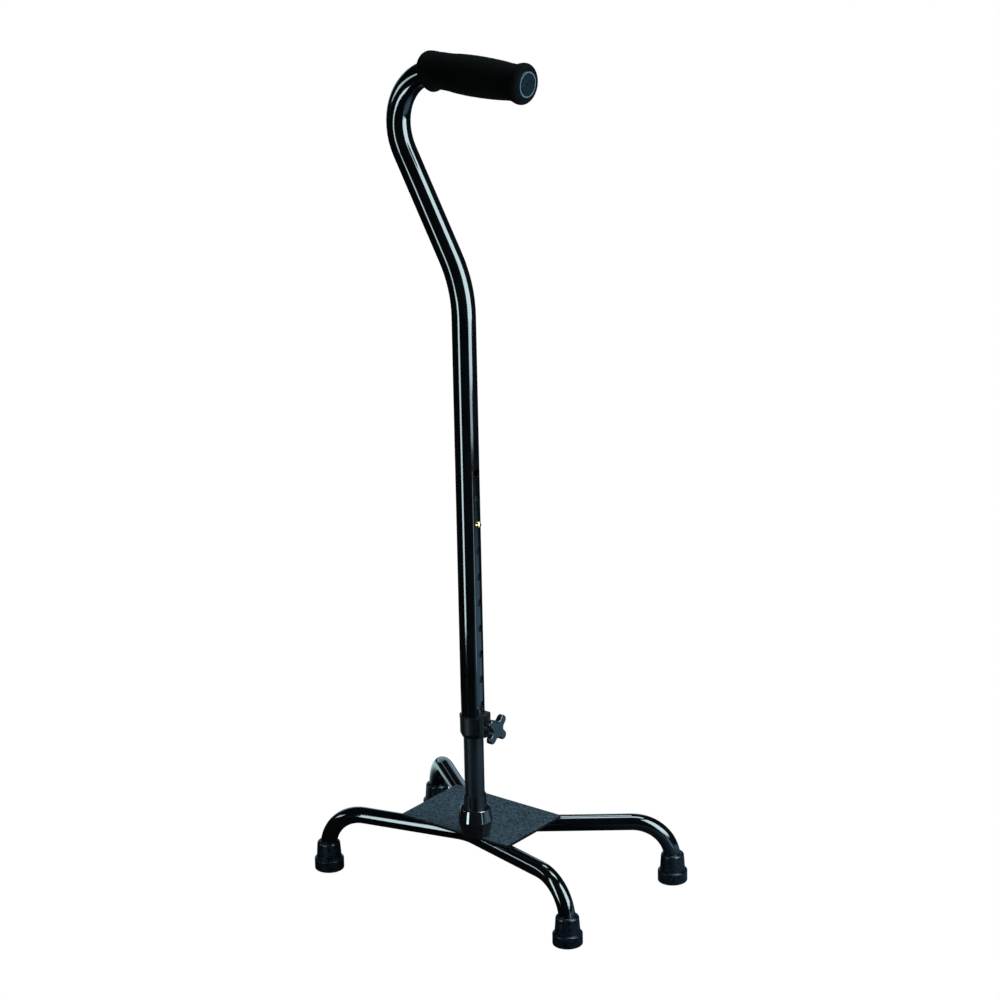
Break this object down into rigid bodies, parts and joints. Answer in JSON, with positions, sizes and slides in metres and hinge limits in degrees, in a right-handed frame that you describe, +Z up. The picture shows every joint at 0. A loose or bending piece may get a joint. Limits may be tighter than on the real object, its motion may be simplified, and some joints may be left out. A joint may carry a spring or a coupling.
{
  "type": "quad walking cane",
  "caption": "Height-adjustable offset-handle walking cane on a four-footed base, with a foam grip, a snap button and a clamp knob.",
  "frame": {"origin": "centre of the footprint's bounding box, on the floor", "axes": "+Z up along the pole, +X the way the handle points, +Y away from the user"},
  "size_m": [0.3158, 0.1968, 0.8224],
  "materials": {
    "tube_paint": "gloss black paint",
    "plate_paint": "satin black powder coat",
    "tip_rubber": "satin",
    "boot_plastic": "gloss",
    "black_nylon": "satin",
    "cap_plastic": "satin",
    "white_nylon": "satin",
    "foam": "matt closed-cell foam",
    "steel": "zinc plated",
    "brass": "polished"
  },
  "bodies": {
    "base": {"base_plate": "plate_paint", "front_leg_tube": "tube_paint", "rear_leg_tube": "tube_paint", "foot_tip_front_left": "tip_rubber", "foot_tip_front_right": "tip_rubber", "foot_tip_rear_left": "tip_rubber", "foot_tip_rear_right": "tip_rubber", "tip_washers": "steel", "socket_cup": "plate_paint", "socket_rivet": "steel", "socket_collet": "black_nylon", "socket_boot": "boot_plastic", "lower_tube": "tube_paint", "snap_spring": "steel"},
    "button": {"snap_button": "brass"},
    "bushing": {"tube_bushing": "white_nylon"},
    "handle": {"handle_tube": "tube_paint", "foam_grip": "foam", "grip_end_cap": "cap_plastic", "clamp_collar": "black_nylon", "collar_nut": "steel"},
    "pad": {"pressure_pad": "white_nylon"},
    "knob": {"star_knob": "black_nylon", "knob_stud": "steel"}
  },
  "joints": [
    {"name": "height_adjust", "type": "slide", "parent": "base", "child": "bushing", "axis": [0, 0, 1], "range_m": [-0.0508, 0.1778], "deforming": ["snap_button"]},
    {"name": "handle_swivel", "type": "hinge", "parent": "bushing", "child": "handle", "pos_m": [0.0226, -0.0648, 0.178], "axis": [0, 0, 1], "range_deg": [0, 180]},
    {"name": "button_press", "type": "slide", "parent": "base", "child": "button", "axis": [-1, 0, 0], "range_m": [0, 0.0043], "deforming": ["snap_spring"]},
    {"name": "knob_travel", "type": "slide", "parent": "handle", "child": "pad", "axis": [1, 0, 0], "range_m": [0, 0.00161]},
    {"name": "knob_turn", "type": "hinge", "parent": "pad", "child": "knob", "pos_m": [0.0526, -0.0648, 0.1852], "axis": [1, 0, 0], "range_deg": [0, 720]}
  ],
  "couplings": [
    {"joint": "knob_travel", "follows": "knob_turn", "m_per_rad": 0.00012732}
  ]
}
